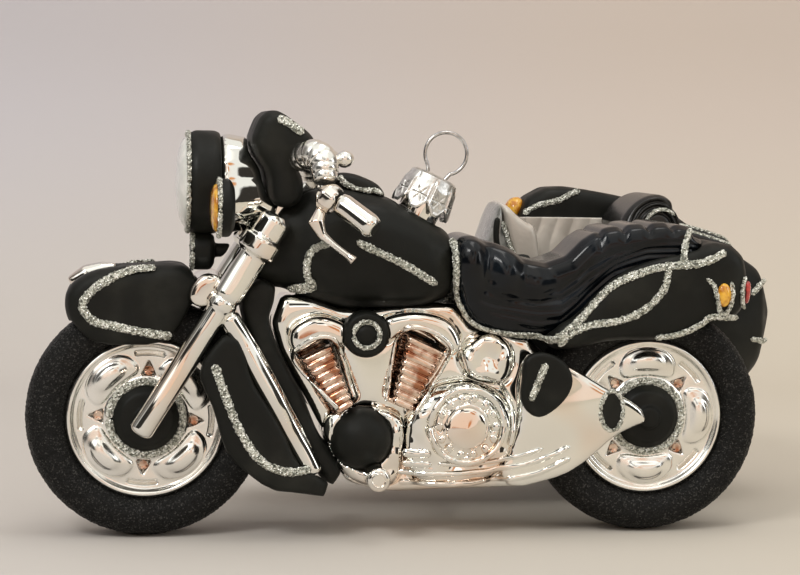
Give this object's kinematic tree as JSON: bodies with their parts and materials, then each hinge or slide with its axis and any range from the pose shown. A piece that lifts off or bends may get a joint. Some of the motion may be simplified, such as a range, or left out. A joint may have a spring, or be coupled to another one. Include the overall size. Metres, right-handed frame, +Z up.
{
  "type": "hanging glass ornament in the form of a touring motorcycle with sidecar",
  "caption": "Blown glass hanging ornament shaped as a touring motorcycle with a sidecar, with a crown cap and a wire hanger.",
  "frame": {"origin": "floor under the middle of the bounding box", "axes": "+X to the front of the motorcycle, +Y to its left, +Z up"},
  "size_m": [0.1658, 0.0868, 0.0854],
  "materials": {
    "silver_glass": "silvered blown glass",
    "black_matt": "matt black lacquer on glass",
    "black_gloss": "gloss black lacquer on glass",
    "tyre_glitter": "black lacquer with fine black glitter",
    "copper_glass": "silvered glass with copper tone",
    "white_lens": "white lacquer on glass",
    "amber_glass": "amber lacquer on glass",
    "red_glass": "red lacquer on glass",
    "cap_metal": "stamped bright sheet",
    "wire": "bright spring wire",
    "bare_glass": "silvered glass"
  },
  "bodies": {
    "glass": {"amber_lamps": "amber_glass", "ball_covers": "black_matt", "console": "black_matt", "cowl": "black_matt", "crankcase": "silver_glass", "derby_covers": "silver_glass", "down_tube": "black_matt", "engine_body": "silver_glass", "fender_tip": "silver_glass", "foot_pegs": "silver_glass", "fork_leg_left": "silver_glass", "fork_leg_right": "silver_glass", "fork_yoke": "silver_glass", "front_cylinder": "copper_glass", "front_fender": "black_matt", "front_hub": "black_gloss", "front_rocker_cover": "silver_glass", "front_tubes": "silver_glass", "front_tyre": "tyre_glitter", "front_wheel_disc": "silver_glass", "grips": "silver_glass", "handlebar": "silver_glass", "handlebar_knobs": "silver_glass", "headlight_lens": "white_lens", "headlight_nacelle": "silver_glass", "headlight_shell": "black_matt", "leg_guards": "black_matt", "levers": "silver_glass", "lower_lamp": "black_matt", "neck": "bare_glass", "oil_tank": "silver_glass", "passing_lamps": "black_matt", "passing_lenses": "amber_glass", "primary_cover": "silver_glass", "rear_cylinder": "copper_glass", "rear_hub": "black_gloss", "rear_rocker_cover": "silver_glass", "rear_tyre": "tyre_glitter", "rear_wheel_disc": "silver_glass", "round_covers": "black_matt", "saddlebags": "black_matt", "seat": "black_gloss", "side_covers": "black_matt", "sidecar_body": "black_matt", "sidecar_fender": "black_matt", "sidecar_hood": "black_matt", "sidecar_hub": "black_gloss", "sidecar_lamp": "amber_glass", "sidecar_rack": "black_matt", "sidecar_struts": "silver_glass", "sidecar_tyre": "tyre_glitter", "sidecar_wheel_disc": "silver_glass", "sidecar_windscreen": "silver_glass", "swing_arms": "silver_glass", "switch_housings": "silver_glass", "tail_lamp": "red_glass", "tank": "black_matt"},
    "cap": {"cap": "cap_metal"},
    "hanger": {"hanger": "wire"}
  },
  "joints": [
    {"name": "cap_turn", "type": "hinge", "parent": "glass", "child": "cap", "pos_m": [0.0051, 0.0192, 0.0636], "axis": [-0.4226, 0, 0.9063], "continuous": true},
    {"name": "hanger_lift", "type": "slide", "parent": "cap", "child": "hanger", "axis": [-0.4226, 0, 0.9063], "range_m": [0, 0.008]}
  ]
}
